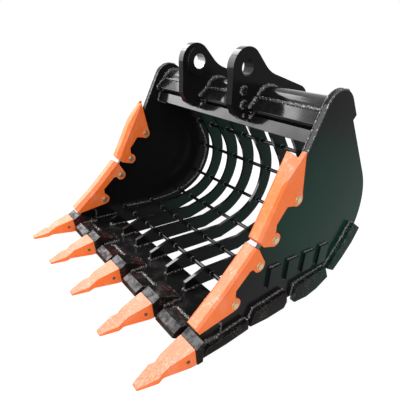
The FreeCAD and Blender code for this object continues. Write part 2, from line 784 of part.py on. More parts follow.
def slant_top(body, label, sign):
    """Cut the outer front corner away, from nothing at the bend to the full top."""
    outer = size("guard_outer")
    over = size("guard_lug_rise") + 5
    low = [
        (sign * (outer + 2), guard_brow[0] - 2),
        (sign * (outer + 2), guard_brow[0] + 1),
        (sign * (outer - 1), guard_brow[0] - 2),
    ]
    high = [
        (sign * (outer + 2), guard_tip[0] + 7),
        (sign * (outer + 2), guard_tip[0] + size("guard_lug_back") + 4),
        (-sign * size("guard_half") * size("guard_top_reach"), guard_tip[0] + 7),
    ]
    root = polygon(body, label + "_slant_root", low, role="XY_Plane", offset=guard_brow[1])
    end = polygon(body, label + "_slant_end", high, role="XY_Plane",
                  offset=guard_tip[1] + over)
    feature = body.newObject("PartDesign::SubtractiveLoft", label + "_slant")
    feature.Profile = root
    feature.Sections = [end]
    feature.Ruled = True


def guard(label, middle, sign, corners, slot, holes, fronts, lug=None):
    body = make_body(label, middle)
    inner = size("guard_half")
    outer = size("guard_outer")
    start = -inner if sign > 0 else -outer
    wide = inner + outer
    pad(body, polygon(body, label + "_outline", corners, offset=start), wide)
    pad(body, circles(body, label + "_ears", holes, size("guard_ear"), offset=start), wide)
    bevel(body, fronts, size("guard_bevel"), label + "_inner_bevel", -sign)
    bevel(body, fronts, size("guard_outer_bevel"), label + "_outer_bevel", sign)
    if lug:
        face = size("side_thick") / 2
        lug_start = face if sign > 0 else -outer
        pad(body, polygon(body, label + "_lug", lug, offset=lug_start), outer - face)
        slant_top(body, label, sign)
    opening = body.newObject("PartDesign::Pocket", label + "_slot_cut")
    opening.Profile = polygon(body, label + "_slot", slot)
    opening.SideType = "Symmetric"
    bind(opening, "Length", size("side_thick"))
    cut(body, circles(body, label + "_bolt_holes", holes, size("bolt_radius")))
    return body


FRONT = size("guard_front")


def ahead(point, lean):
    """A point moved off the leading edge, square to an edge of this lean."""
    return (point[0] - FRONT * cosine(lean), point[1] + FRONT * sine(lean))


lower_slot = [
    (size("lead_foot_back"), size("lead_foot_rise")),
    (size("lead_mid_back") + 80, size("lead_foot_rise")),
    (size("lead_mid_back") + 80, size("lead_mid_rise") + 40),
    (size("lead_mid_back") + 20, size("lead_mid_rise") + 40),
    LEAD_MID,
    LEAD_LOW,
    LEAD_NOSE,
]
upper_slot = [
    LEAD_LOW,
    (size("lead_mid_back") + 240, size("lead_low_rise")),
    (size("lead_mid_back") + 240, LEAD_TOP_RISE + 60),
    (LEAD_TOP[0] + 25, LEAD_TOP_RISE + 60),
    LEAD_TOP,
    LEAD_MID,
]
nose_top = (size("guard_nose_back"), size("guard_nose_rise"))
lower_front = [
    ahead((LEAD_MID[0] - 10, LEAD_MID[1] - 10), 43),
    ahead(LEAD_LOW, 45),
    nose_top,
]
lower_corners = lower_front + [
    (nose_top[0] + 16, nose_top[1] - size("guard_nose_drop")),
    (BOLTS[0][0] + 4, BOLTS[0][1] - size("guard_ear")),
    BOLTS[0],
    (BOLTS[0][0] - size("guard_low_scallop_wall"), BOLTS[0][1] + size("guard_scallop_rise")),
    (BOLTS[1][0] - size("guard_low_scallop_back"),
     BOLTS[1][1] - size("guard_low_scallop_drop")),
    BOLTS[1],
    (BOLTS[1][0] + 26, BOLTS[1][1] + 8),
    (BOLTS[1][0] - 16, BOLTS[1][1] + 72),
]
guard_tip = (LEAD_TOP[0] - size("guard_tip_ahead"), LEAD_TOP[1] + size("guard_tip_over"))
guard_brow = (guard_tip[0] - size("guard_brow_ahead"),
              guard_tip[1] - size("guard_brow_under"))
upper_front = [
    guard_brow,
    ahead((LEAD_MID[0] + 10, LEAD_MID[1] + 20), 30),
]
upper_corners = upper_front + [
    (BOLTS[2][0] - 56, BOLTS[2][1] - 14),
    (BOLTS[2][0], BOLTS[2][1] - size("guard_ear")),
    BOLTS[2],
    (BOLTS[2][0] - size("guard_top_scallop_wall"), BOLTS[2][1] + size("guard_scallop_rise")),
    (BOLTS[3][0] - size("guard_top_scallop_back"), BOLTS[3][1] - 18),
    (BOLTS[3][0] - 16, BOLTS[3][1] - 22),
    BOLTS[3],
    (BOLTS[3][0] + 20, BOLTS[3][1] + 18),
    (guard_tip[0] + 8, guard_tip[1] + 2),
    guard_tip,
]
upper_lug = [
    guard_tip,
    (guard_tip[0] + size("guard_lug_back"), guard_tip[1] + size("guard_lug_rise")),
    (BOLTS[3][0] + size("guard_ear") * 0.8, BOLTS[3][1] + size("guard_ear") * 0.5),
    (BOLTS[3][0] - size("guard_ear") * 0.5, BOLTS[3][1]),
]
side_mid = HALF - size("side_thick") / 2
for word, middle in (("right", side_mid), ("left", -side_mid)):
    head_sign = 1 if word == "right" else -1
    guard("protector_lower_" + word, middle, head_sign, lower_corners, lower_slot,
          BOLTS[:2], lower_front)
    guard("protector_upper_" + word, middle, head_sign, upper_corners, upper_slot,
          BOLTS[2:], upper_front, upper_lug)
    for number, place in enumerate(BOLTS, start=1):
        name = "bolt_%s_%d" % (word, number)
        bolt = make_body(name, middle)
        tall = size("bolt_head_tall")
        inner, outer = size("guard_half"), size("guard_outer")
        shank_start = -inner if head_sign > 0 else -outer
        head_start = outer if head_sign > 0 else -outer - tall
        nut_start = -inner - tall if head_sign > 0 else inner
        pad(bolt, circles(bolt, name + "_shank", [place], size("bolt_radius"),
                          offset=shank_start), inner + outer)
        pad(bolt, circles(bolt, name + "_head", [place], size("bolt_head"),
                          offset=head_start), tall)
        hexagon = [
            (place[0] + size("bolt_head") * cosine(60 * turn),
             place[1] + size("bolt_head") * sine(60 * turn)) for turn in range(6)
        ]
        pad(bolt, polygon(bolt, name + "_nut", hexagon, offset=nut_start), tall)


# Heel shrouds along the foot of each side plate.

def heel_block(label, start, corners):
    body = make_body(label, start)
    pad(body, polygon(body, label + "_outline", corners), size("heel_thick"))
    return body


def on_belly(run, drop):
    """A point below the belly line, measured from the kink."""
    kink, corner = heel(SIDE, FLOOR)
    return (kink[0] + run * cosine(RISE) + drop * sine(RISE),
            kink[1] + run * sine(RISE) - drop * cosine(RISE))


DROP = size("heel_drop")
ENDS = size("heel_corner")
COVER = size("heel_cover")
SLANT = size("heel_slant")
one_front = size("heel_one_front")
one_rear = size("heel_one_rear")
two_front = size("heel_two_front")
two_rear = size("heel_two_rear")
three_front = size("heel_three_front")
three_rear = size("heel_three_rear")
four_low = size("heel_four_low_angle")
four_turn = (size("heel_four_top_angle") - four_low) / 3
lip_under = FLOOR - size("lip_thick") - size("sole_thick")
heel_shapes = [
    [
        (one_front, lip_under - ENDS / 4),
        ((one_front + one_rear) / 2, lip_under),
        (one_rear, FLOOR - DROP),
        (one_rear - SLANT / 4, FLOOR + ENDS),
        (one_front + SLANT * 2, FLOOR - ENDS / 2),
    ],
    [
        (two_front, FLOOR - ENDS),
        ((two_front + two_rear) / 2, FLOOR - DROP),
        (two_rear, FLOOR - ENDS),
        (two_rear + SLANT, FLOOR + ENDS / 2),
        (two_rear, FLOOR + COVER),
        (two_front + SLANT * 2, FLOOR + COVER * 0.7),
    ],
    [
        (three_front, FLOOR - ENDS),
        (on_belly(SLANT, DROP)[0], FLOOR - DROP),
        on_belly(three_rear / 2, DROP * 1.5),
        on_belly(three_rear, DROP),
        on_belly(three_rear - SLANT, -COVER * 0.7),
        (three_front, FLOOR + COVER),
    ],
    [
        polar(SIDE + ENDS, four_low),
        polar(SIDE + ENDS / 4, four_low + four_turn),
        polar(SIDE + ENDS / 4, four_low + four_turn * 2),
        polar(SIDE + ENDS / 2, four_low + four_turn * 3),
        polar(SIDE - COVER * 0.85, four_low + four_turn * 3 + SLANT / 4),
        polar(SIDE - COVER, four_low + four_turn * 1.4),
        polar(SIDE - COVER * 0.4, four_low - SLANT / 2),
    ],
]
for word, start in (("right", HALF), ("left", -HALF - size("heel_thick"))):
    for number, shape in enumerate(heel_shapes, start=1):
        heel_block("heel_shroud_%s_%d" % (word, number), start, shape)


# Check and write.

doc.recompute()
bodies = [item for item in doc.Objects if item.TypeId == "PartDesign::Body"]
for item in doc.Objects:
    if "Invalid" in item.State or "Error" in item.State:
        raise RuntimeError("%s did not recompute: %s" % (item.Label, item.State))
os.makedirs("parts", exist_ok=True)
for body in bodies:
    shape = body.Shape
    if shape.isNull() or not shape.isValid() or len(shape.Solids) != 1:
        raise RuntimeError("%s: %d solids" % (body.Label, len(shape.Solids)))
    shape.exportStep("parts/%s.step" % body.Label)
print("%d pieces written" % len(bodies))
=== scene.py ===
import json
import math

import bmesh
import bpy
from bpy.props import FloatProperty, FloatVectorProperty, IntProperty, PointerProperty
from bpy.types import Operator, Panel, PropertyGroup
from mathutils import Matrix, Vector, noise
from mathutils.bvhtree import BVHTree


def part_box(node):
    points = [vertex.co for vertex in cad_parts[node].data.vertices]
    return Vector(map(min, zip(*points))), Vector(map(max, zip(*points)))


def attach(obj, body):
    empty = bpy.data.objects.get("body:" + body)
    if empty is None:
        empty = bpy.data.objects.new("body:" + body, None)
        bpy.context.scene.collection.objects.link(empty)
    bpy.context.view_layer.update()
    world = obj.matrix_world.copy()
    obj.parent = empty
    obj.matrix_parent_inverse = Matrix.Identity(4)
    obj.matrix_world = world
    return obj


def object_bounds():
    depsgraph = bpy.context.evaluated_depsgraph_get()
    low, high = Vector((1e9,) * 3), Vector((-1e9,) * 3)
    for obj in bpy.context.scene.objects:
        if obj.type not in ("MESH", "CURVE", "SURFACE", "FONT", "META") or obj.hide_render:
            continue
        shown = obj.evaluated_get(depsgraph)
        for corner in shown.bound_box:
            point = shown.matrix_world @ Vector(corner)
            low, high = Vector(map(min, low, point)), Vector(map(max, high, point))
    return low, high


bl_info = {
    "name": "Skeleton Rock Bucket",
    "version": (1, 0, 0),
    "blender": (4, 5, 0),
    "location": "3D View > Sidebar > Rock Bucket",
    "description": "Dresses a skeleton rock bucket with paint, welds and fasteners",
    "category": "Object",
}

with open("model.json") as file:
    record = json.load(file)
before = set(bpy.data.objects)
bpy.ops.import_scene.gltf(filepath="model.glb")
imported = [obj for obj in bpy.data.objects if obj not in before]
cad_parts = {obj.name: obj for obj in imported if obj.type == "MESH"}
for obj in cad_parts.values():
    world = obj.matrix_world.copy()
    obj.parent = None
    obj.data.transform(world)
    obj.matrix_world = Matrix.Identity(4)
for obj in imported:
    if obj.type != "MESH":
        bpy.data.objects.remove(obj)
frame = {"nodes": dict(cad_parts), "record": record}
NODES = frame["nodes"]
CAD_LOW, CAD_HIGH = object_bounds()

SIDE_PLATES = ["side_plate_right", "side_plate_left"]
TOP_PLATES = ["torque_tube", "back_plate", "mouth_beam"]
EARS = ["ear_right", "ear_left"]
RIBS = ["rib_%d" % number for number in range(1, 8)]
RODS = ["cross_rod_%d" % number for number in range(1, 7)]
ADAPTERS = ["adapter_%d" % number for number in range(1, 6)]
TEETH = ["tooth_%d" % number for number in range(1, 6)]
TOOTH_PINS = ["tooth_pin_%d" % number for number in range(1, 6)]
LIP_SHROUDS = ["lip_shroud_%d" % number for number in range(1, 5)]
SIDES = ("right", "left")
GUARDS = ["protector_%s_%s" % (level, side) for level in ("lower", "upper") for side in SIDES]
BOLTS = ["bolt_%s_%d" % (side, number) for side in SIDES for number in range(1, 5)]
HEEL_SHROUDS = ["heel_shroud_%s_%d" % (side, number)
                for side in SIDES for number in range(1, 5)]

PINS = {mount["name"]: (Vector(mount["pos_m"]), mount["dims"]["r_mm"] / 1000.0)
        for mount in frame["record"]["mounts"]}

# Lengths in metres. Pairs are places along Y and Z.
SAME_CORNER = 0.00002  # corners closer than this are one
TOUCH = 0.0006  # surfaces closer than this touch
SUNK = 0.0004  # how deep an added plate lies inside the one that it stands on
FOOT = 0.002  # how deep a washer or boss stands in its plate
WASHER_BEVEL = (0.0005, 0.0007)  # its height and its width
EAR_BOSSES = ((-0.011, -0.089), (-0.002, -0.147))
EAR_BOSS_TAIL = ((0.003, -0.182), (0.004, -0.192), (0.002, -0.200))
BOSS_PROFILE = ((0.85, 1.0), (1.0, 0.88), (1.0, 0.45), (0.7, 0.40))  # of height and radius
LIP_CORNER = ((0.090, 0.004), (0.084, 0.050), (0.094, 0.090), (0.114, 0.104),
              (0.169, 0.054), (0.169, 0.004))  # from the line of the tooth pins
LIP_CORNER_FOOT = ((0.094, 0.008), (0.168, 0.008))
LEADING_EDGE = (0.145, -0.43)  # the rearmost and the lowest place of the leading edge
RIB_DAB = ((-0.009, 0.0, 0.003), (0.0, 0.0, 0.0), (0.009, 0.0, 0.003))
SEAM_STEP = 0.004  # a seam is tested at steps of this length
SHORTEST_SEAM = 0.02
SHORTEST_LINE = 0.004
THIN_ROUND = 0.6  # a thin piece's edge rounding as a share of a plate's
RING_STEPS = 24
TURNED_STEPS = 28
CURVE_STEPS = 8

# The shape of a weld bead
BEAD_SIDES = 8
CREST, TROUGH = 0.14, -0.10  # how far a ripple stands out and falls in
BEAD_END = 0.55  # the end's radius as a share of the bead's
WAVE = 55.0  # uneven places to the metre
LUMP = 0.20  # how lumpy a bead is round its line

# Name, place, width and power setting of each lamp
LAMPS = (("top_lamp", (0.4, -0.9, 2.6), 1.9, "top_light"),
         ("left_lamp", (-2.2, -2.0, 0.9), 2.6, "left_light"),
         ("high_lamp", (-2.0, -0.1, 1.9), 1.5, "high_light"),
         ("right_lamp", (2.4, -2.6, 0.6), 2.4, "right_light"))
FLOOR_REACH = 30.0
FLOOR_MOTTLE = 0.985  # the darker places' share of the floor's colour
FLOOR_SHADE = 0.2  # how much shadow the camera sees on the floor
SENSOR_WIDTH = 36.0  # millimetres


def colour_setting(name, description, value):
    return FloatVectorProperty(name=name, description=description, default=value,
                               subtype="COLOR", min=0.0, max=1.0, size=3)


def length_setting(name, description, value):
    return FloatProperty(name=name, description=description, default=value,
                         min=0.0, soft_max=10.0, unit="LENGTH", precision=4)


def plain_setting(name, description, value):
    return FloatProperty(name=name, description=description, default=value, min=0.0)


class BucketPaint(PropertyGroup):
    """Colours and gloss of the bucket."""
    black: colour_setting("Black", "Enamel on the plates", (0.006, 0.006, 0.0065))
    # Painted reflection: green cast on the lower outside of the side plates and towards the
    # rear of the heel shrouds
    green: colour_setting("Green cast", "Green that shows in the enamel's lower side",
                          (0.004, 0.030, 0.020))
    # Painted reflection: green cast on the rear flanks of the ribs
    rib_green: colour_setting("Green of the ribs", "Green cast at the rear of the ribs",
                              (0.010, 0.031, 0.024))
    casting_black: colour_setting("Casting black", "Enamel on the cast pieces",
                                  (0.012, 0.009, 0.009))
    warm_black: colour_setting("Warm black", "Warm patches on the cast pieces",
                               (0.060, 0.012, 0.012))
    orange: colour_setting("Orange", "Paint on the teeth and protectors",
                           (0.94, 0.178, 0.026))
    # Pale orange for chalky places, and on upper faces a painted highlight over thin dust
    orange_chalk_and_highlight: colour_setting("Pale orange", "Chalky places in the orange",
                                (0.84, 0.39, 0.26))
    bloom: colour_setting("Bloom", "Whitish flecks in the orange", (0.82, 0.66, 0.58))
    grime: colour_setting("Grime", "Dull patches in the orange", (0.50, 0.08, 0.02))
    crease: colour_setting("Crease", "Creases in the orange skin", (0.46, 0.14, 0.04))
    chip: colour_setting("Chip", "Chips in the orange", (0.045, 0.035, 0.03))
    zinc: colour_setting("Zinc", "Yellow zinc on the bolts", (0.62, 0.44, 0.22))
    pale_zinc: colour_setting("Pale zinc", "Pale clouds in the zinc", (0.50, 0.46, 0.36))
    pin_dark: colour_setting("Pin", "Dark steel of the tooth pins", (0.03, 0.03, 0.03))
    pin_brown: colour_setting("Brown pin", "Clouds on the tooth pins", (0.20, 0.14, 0.11))
    steel: colour_setting("Steel", "Machined steel in the bores", (0.46, 0.46, 0.48))
    # Pale grey for thin dust on upper faces; brightened, it is also the colour of painted
    # glints on welds and castings
    dust_and_glint: colour_setting("Dust", "Thin dust on upper faces", (0.22, 0.21, 0.20))
    gloss: FloatProperty(name="Enamel roughness", description="Roughness of the black enamel",
                         default=0.17, min=0.02, max=1.0, subtype="FACTOR")
    edge_round: length_setting("Edge rounding", "Width of a plate's softened edge", 0.0022)
    cast_round: length_setting("Casting rounding", "Width of a casting's softened edge",
                               0.0045)


class BucketWelds(PropertyGroup):
    """Sizes of the weld beads."""
    plate_bead: length_setting("Plate bead", "Radius of the beads between plates", 0.0070)
    tube_bead: length_setting("Tube bead", "Radius of the beads round the tube", 0.0115)
    rod_bead: length_setting("Rod bead", "Radius of the beads round the cross rods", 0.0044)
    heel_bead: length_setting("Heel bead", "Radius of the beads on the heel", 0.0072)
    ripple: length_setting("Ripple", "Ripple to ripple along a bead", 0.0090)
    unevenness: FloatProperty(name="Unevenness", description="How uneven the beads are",
                              default=0.16, min=0.0, max=1.0, subtype="FACTOR")
    seed: IntProperty(name="Seed", description="Start of the uneven pattern", default=7)


class BucketFasteners(PropertyGroup):
    """Sizes of the washers and the ear bosses."""
    washer_over: length_setting("Washer over head", "Washer radius beyond the bolt head",
                                0.0035)
    washer_thick: length_setting("Washer thickness", "Thickness of a washer", 0.0022)
    boss_radius: length_setting("Retainer boss", "Radius of the bosses on the ear", 0.0150)
    boss_tall: length_setting("Retainer height", "Height of the bosses on the ear", 0.0120)


class BucketStage(PropertyGroup):
    """Camera, lamps and floor."""
    camera_place: FloatVectorProperty(name="Camera", description="Place of the camera",
                                      default=(1.2923, -1.1108, 0.0730),
                                      subtype="TRANSLATION", unit="LENGTH", size=3)
    camera_yaw: FloatProperty(name="Yaw", description="Turn of the camera from straight back",
                              default=math.radians(50.458), subtype="ANGLE")
    camera_pitch: FloatProperty(name="Pitch", description="Tilt of the camera",
                                default=math.radians(-23.204), subtype="ANGLE")
    camera_roll: FloatProperty(name="Roll", description="Roll of the camera",
                               default=math.radians(4.283), subtype="ANGLE")
    camera_lens: FloatProperty(name="Lens", description="Focal length in millimetres",
                               default=32.595, min=5.0, max=300.0)
    floor_colour: colour_setting("Floor", "Colour of the floor", (0.86, 0.86, 0.86))
    top_light: plain_setting("Top light", "Power of the lamp overhead", 30.0)
    left_light: plain_setting("Left light", "Power of the lamp on the far side", 100.0)
    high_light: plain_setting("High light", "Power of the lamp above the far side", 50.0)
    right_light: plain_setting("Right light", "Power of the lamp near the camera", 48.0)
    room_light: plain_setting("Room light", "Strength of the room's own light", 0.45)


class Flow:
    """A socket that does sums by making nodes."""

    def __init__(self, nodes, socket):
        self.nodes = nodes
        self.socket = socket

    def sum_node(self, operation, first, second):
        sockets = [value.socket.type for value in (first, second) if isinstance(value, Flow)]
        kind = "ShaderNodeVectorMath" if "VECTOR" in sockets else "ShaderNodeMath"
        return self.nodes.node(kind, {"operation": operation}, {0: first, 1: second})

    def __add__(self, other):
        return self.sum_node("ADD", self, other)

    def __radd__(self, other):
        return self.sum_node("ADD", other, self)

    def __sub__(self, other):
        return self.sum_node("SUBTRACT", self, other)

    def __rsub__(self, other):
        return self.sum_node("SUBTRACT", other, self)

    def __mul__(self, other):
        return self.sum_node("MULTIPLY", self, other)

    def __rmul__(self, other):
        return self.sum_node("MULTIPLY", other, self)

    def __pow__(self, other):
        return self.sum_node("POWER", self, other)

    def between(self, low, high):
        """0 below low and 1 above high, with a soft step between them."""
        return self.nodes.node("ShaderNodeMapRange", {"interpolation_type": "SMOOTHSTEP"},
                               {0: self, 1: low, 2: high, 3: 0.0, 4: 1.0})

    def blend(self, off, on):
        """The colour off where this value is 0, and on where it is 1."""
        return self.nodes.node("ShaderNodeMix", {"data_type": "RGBA"},
                               {0: self, 6: whole_colour(off), 7: whole_colour(on)}, 2)


def whole_colour(item):
    """A colour with its fourth number, from a colour or one grey level."""
    if isinstance(item, Flow):
        return item
    if isinstance(item, float):
        return (item, item, item, 1.0)
    return (*tuple(item)[:3], 1.0)


def dimmed(colour, factor):
    """A colour made darker or lighter."""
    return [channel * factor for channel in colour]


class NodeSet:
    """The nodes of one material or of the room."""

    def __init__(self, owner):
        self.owner = owner
        owner.use_nodes = True
        owner.node_tree.nodes.clear()

    def node(self, kind, settings, sockets, output=0):
        """Makes a node, with its settings before its sockets, and gives one output."""
        tree = self.owner.node_tree
        made = tree.nodes.new(kind)
        for name, value in settings.items():
            setattr(made, name, value)
        for name, value in sockets.items():
            if isinstance(value, Flow):
                tree.links.new(value.socket, made.inputs[name])
            else:
                made.inputs[name].default_value = value
        return Flow(self, made.outputs[output]) if made.outputs else None

    def direct_view(self):
        """1 for what the camera sees, also in gloss and through glass, and 0 for the rest."""
        camera, glossy, through = [
            self.node("ShaderNodeLightPath", {}, {}, "Is %s Ray" % kind)
            for kind in ("Camera", "Glossy", "Transmission")]
        return camera + glossy + through


class Finish(NodeSet):
    """One material, with the patterns that finishes are made of."""

    def __init__(self, name):
        super().__init__(bpy.data.materials.new(name))
        self.place = self.node("ShaderNodeTexCoord", {}, {}, "Object")

    def grain(self, scale, detail=3.0, stretch=(1.0, 1.0, 1.0), offset=0.0):
        """A cloudy pattern from 0 to 1, with scale clouds to the metre."""
        place = self.place * stretch + (offset, offset, offset)
        return self.node("ShaderNodeTexNoise", {}, {"Vector": place, "Scale": scale,
                                                    "Detail": detail, "Roughness": 0.55})

    def spots(self, scale, offset=0.0):
        """Distance to scattered points, with scale points to the metre."""
        place = self.place + (offset, offset, offset)
        return self.node("ShaderNodeTexVoronoi", {}, {"Vector": place, "Scale": scale})

    def parts(self, vector):
        """The X, Y and Z of a vector."""
        split = self.node("ShaderNodeSeparateXYZ", {}, {"Vector": vector})
        return [Flow(self, part) for part in split.socket.node.outputs]

    def axes(self):
        """The place of a point along X, Y and Z."""
        return self.parts(self.place)

    def facing(self):
        """The three parts of the direction that a face looks in."""
        return self.parts(self.node("ShaderNodeNewGeometry", {}, {}, "Normal"))

    def upward(self):
        """1 on faces that look up, 0 on upright ones."""
        return self.facing()[2].between(0.25, 0.95)

    def edges(self):
        """0 on a plate's broad side and 1 on its edges and on what lies across."""
        return 1.0 - (self.facing()[0] ** 2.0).between(0.3, 0.8)

    def close(self, colour, roughness, height, strength, distance, **constants):
        """Ends the finish in a shader, with the height pattern as its bump."""
        bump = self.node("ShaderNodeBump", {}, {"Height": height, "Strength": strength,
                                                "Distance": distance})
        sockets = {"Base Color": colour, "Roughness": roughness, "Normal": bump}
        sockets.update({name.replace("_", " "): value for name, value in constants.items()})
        self.end(self.node("ShaderNodeBsdfPrincipled", {}, sockets))
        return self.owner

    def end(self, shader):
        self.node("ShaderNodeOutputMaterial", {}, {"Surface": shader})


def bare_bores(finish, paint):
    """Where the ears' bores are, where they are bare, and the colour of the bare steel."""
    x, y, z = finish.axes()
    hole = None
    for centre, radius in PINS.values():
        far = ((y - centre.y) ** 2.0 + (z - centre.z) ** 2.0) ** 0.5
        ring = 1.0 - far.between(radius + 0.0004, radius + 0.0012)
        hole = ring if hole is None else hole + ring
    lathe = finish.grain(scale=60.0, detail=2.0, stretch=(9.0, 1.0, 1.0), offset=5.0)
    steel = lathe.blend(paint.steel, dimmed(paint.steel, 0.45))
    only_left = 1.0 - x.between(-0.05, 0.05) * 0.97
    return hole, hole * only_left, steel


def black_enamel(paint, name):
    """Gloss black with orange peel and thin dust on top; side plates and ribs carry a painted
    green reflection.
    """
    finish = Finish(name)
    x, y, z = finish.axes()
    across = finish.facing()[0]
    cloud = finish.grain(scale=3.0, detail=4.0)
    streak = finish.grain(scale=14.0, detail=5.0, stretch=(1.0, 1.0, 0.25))
    peel = finish.grain(scale=210.0, detail=2.0)
    fine = finish.grain(scale=900.0, detail=2.0)
    colour = cloud.blend(paint.black, dimmed(paint.black, 1.5))
    if name == "side_enamel":
        # Painted reflection: green cast on the lower outside of the side plates, fading
        # towards the front
        low = (z * -1.0 + (cloud - 0.5) * 0.25).between(0.10, 0.42)
        outside = (across * x).between(0.15, 0.40)
        front = (z * -1.0 - y * 0.6).between(0.58, 0.90)
        colour = (low * outside * (1.0 - front)).blend(colour, paint.green)
    if name == "rib_enamel":
        # Painted reflection: green cast on the rear flanks of the ribs
        flank = (across ** 2.0).between(0.5, 0.9) * y.between(-0.15, 0.25)
        colour = flank.blend(colour, paint.rib_green)
    dust_and_glint = finish.upward() * streak.between(0.45, 0.8) * 0.10
    colour = dust_and_glint.blend(colour, paint.dust_and_glint)
    scuff = finish.grain(scale=38.0, detail=6.0, stretch=(1.0, 1.0, 3.0), offset=2.3)
    scuff = scuff.between(0.62, 0.70)
    roughness = cloud * 0.10 + scuff * 0.16 + dust_and_glint * 1.2 + (paint.gloss - 0.05)
    height = peel * 0.8 + fine * 0.12 + scuff * 0.1
    coat = finish.edges() * COAT_SHARES[name]
    constants = {"Specular_IOR_Level": 0.05}
    if name == "black_enamel":
        coat = coat * (cloud.between(0.40, 0.60) * 0.5 + 0.65 - x * 0.4)
    if name == "ear_enamel":
        hole, bare, steel = bare_bores(finish, paint)
        coat = coat * (z.between(-0.03, 0.06) * 0.7 + 0.08) * (1.0 - hole)
        colour = bare.blend(colour, steel)
        roughness = roughness + bare * 0.22
        constants = {"Specular_IOR_Level": 0.06, "Metallic": bare}
    return finish.close(colour, roughness, height, strength=0.35, distance=0.0006,
                        Coat_Weight=coat, Coat_Roughness=0.10, **constants)


def cast_enamel(paint, name):
    """Black enamel over a sand-cast skin, with warm patches and painted glint specks, or a
    painted green reflection on the heel.
    """
    finish = Finish(name)
    sand = finish.grain(scale=130.0, detail=4.0)
    lump = finish.grain(scale=34.0, offset=1.7)
    warm = finish.grain(scale=9.0, offset=4.1).between(0.50, 0.72)
    pit = 1.0 - finish.spots(scale=150.0, offset=0.4).between(0.0, 0.35)
    if name == "heel_enamel":
        # Painted reflection: green cast towards the rear of the heel shrouds
        rear = finish.axes()[1].between(-0.10, 0.32)
        colour = rear.blend(paint.casting_black, dimmed(paint.green, 0.8))
    else:
        colour = (warm * 0.8).blend(paint.casting_black, paint.warm_black)
    cloud = finish.grain(scale=45.0, detail=5.0)
    dust_and_glint = finish.upward() * cloud.between(0.48, 0.75) * 0.14
    colour = dust_and_glint.blend(colour, paint.dust_and_glint)
    # Painted glints: pale specks in patches, where the cast skin and spatter catch the light
    glint_speck = 1.0 - finish.spots(scale=190.0, offset=2.0).between(0.12, 0.26)
    patch = finish.grain(scale=16.0, detail=2.0, offset=7.0).between(0.48, 0.62)
    colour = (glint_speck * patch * 0.8).blend(colour, dimmed(paint.dust_and_glint, 1.9))
    roughness = lump * 0.20 + pit * 0.08 + dust_and_glint + (paint.gloss - 0.04)
    height = sand * 0.7 + lump * 1.2 - pit * 0.35
    coat = finish.edges() * (lump.between(0.38, 0.62) * 0.65 + 0.25)
    return finish.close(colour, roughness, height, strength=0.5, distance=0.0012,
                        Coat_Weight=coat, Coat_Roughness=0.14, Specular_IOR_Level=0.02)


def weld_enamel(paint, name):
    """Black enamel over weld metal: glossier, with spatter and painted glints."""
    finish = Finish(name)
    rough = finish.grain(scale=300.0)
    drop = 1.0 - finish.spots(scale=140.0).between(0.0, 0.45)
    cloud = finish.grain(scale=12.0)
    colour = cloud.blend(paint.black, dimmed(paint.casting_black, 1.8))
    # Painted glints: pale flecks in the base colour where the weld catches the light
    glint = finish.grain(scale=160.0, detail=2.0, offset=8.0).between(0.56, 0.66)
    colour = (glint * 0.8).blend(colour, dimmed(paint.dust_and_glint, 2.3))
    return finish.close(colour, cloud * 0.10 + (paint.gloss - 0.06), rough * 0.9 + drop * 0.8,
                        strength=0.8, distance=0.0016, Specular_IOR_Level=0.75)


def orange_paint(paint, name):
    """Semi-gloss orange over a cast skin: chalky patches, a painted highlight over dust on
    upper faces, small chips, creased tooth tips.
    """
    finish = Finish(name)
    sand = finish.grain(scale=150.0, detail=5.0)
    lump = finish.grain(scale=28.0, offset=3.0)
    chalk = finish.grain(scale=17.0, detail=6.0, stretch=(1.0, 1.0, 0.6), offset=6.2)
    chalk = chalk.between(0.46, 0.70)
    fleck = finish.grain(scale=120.0, detail=6.0, stretch=(1.0, 1.0, 0.5), offset=1.1)
    top = finish.upward()
    # Upper faces made paler: a painted highlight over thin dust; the chalky patches are the
    # paint's own
    colour = (chalk * 0.25 + top * 0.70).blend(paint.orange, paint.orange_chalk_and_highlight)
    bloom = fleck.between(0.52, 0.64) * (chalk * 0.7 + 0.3) * (top * 0.75 + 0.14)
    colour = bloom.blend(colour, paint.bloom)
    grime = finish.grain(scale=7.0, detail=5.0, offset=12.0).between(0.56, 0.8)
    colour = (grime * 0.18).blend(colour, paint.grime)
    skin = finish.grain(scale=70.0, detail=4.0, stretch=(1.0, 0.6, 1.0), offset=15.0)
    crease = skin.between(0.46, 0.50) * (1.0 - skin.between(0.51, 0.55))
    tip = 1.0 - finish.axes()[1].between(-0.64, -0.56)
    colour = (crease * top * (tip * 0.5 + 0.2)).blend(colour, paint.crease)
    chip = finish.grain(scale=95.0, detail=2.0, offset=9.0).between(0.765, 0.775)
    colour = (chip * 0.8).blend(colour, paint.chip)
    roughness = 0.34 + lump * 0.16 + chalk * 0.14 + chip * 0.2
    height = sand * 1.2 + lump * 1.4 - chip * 0.6
    return finish.close(colour, roughness, height, strength=0.8, distance=0.0018,
                        Specular_IOR_Level=0.28)


def zinc_plating(paint, name):
    """Yellow zinc with pale clouds and tool marks."""
    finish = Finish(name)
    cloud = finish.grain(scale=120.0)
    mark = finish.grain(scale=500.0, detail=2.0, stretch=(1.0, 4.0, 1.0))
    colour = cloud.between(0.35, 0.7).blend(paint.zinc, paint.pale_zinc)
    return finish.close(colour, 0.28 + cloud * 0.18, mark, strength=0.3, distance=0.0003,
                        Metallic=0.9)


def pin_steel(paint, name):
    """Dark phosphated steel with brownish clouds."""
    finish = Finish(name)
    cloud = finish.grain(scale=240.0, detail=4.0)
    colour = cloud.between(0.45, 0.62).blend(paint.pin_dark, paint.pin_brown)
    return finish.close(colour, 0.36 + cloud * 0.2, cloud, strength=0.4, distance=0.0005,
                        Metallic=0.6)


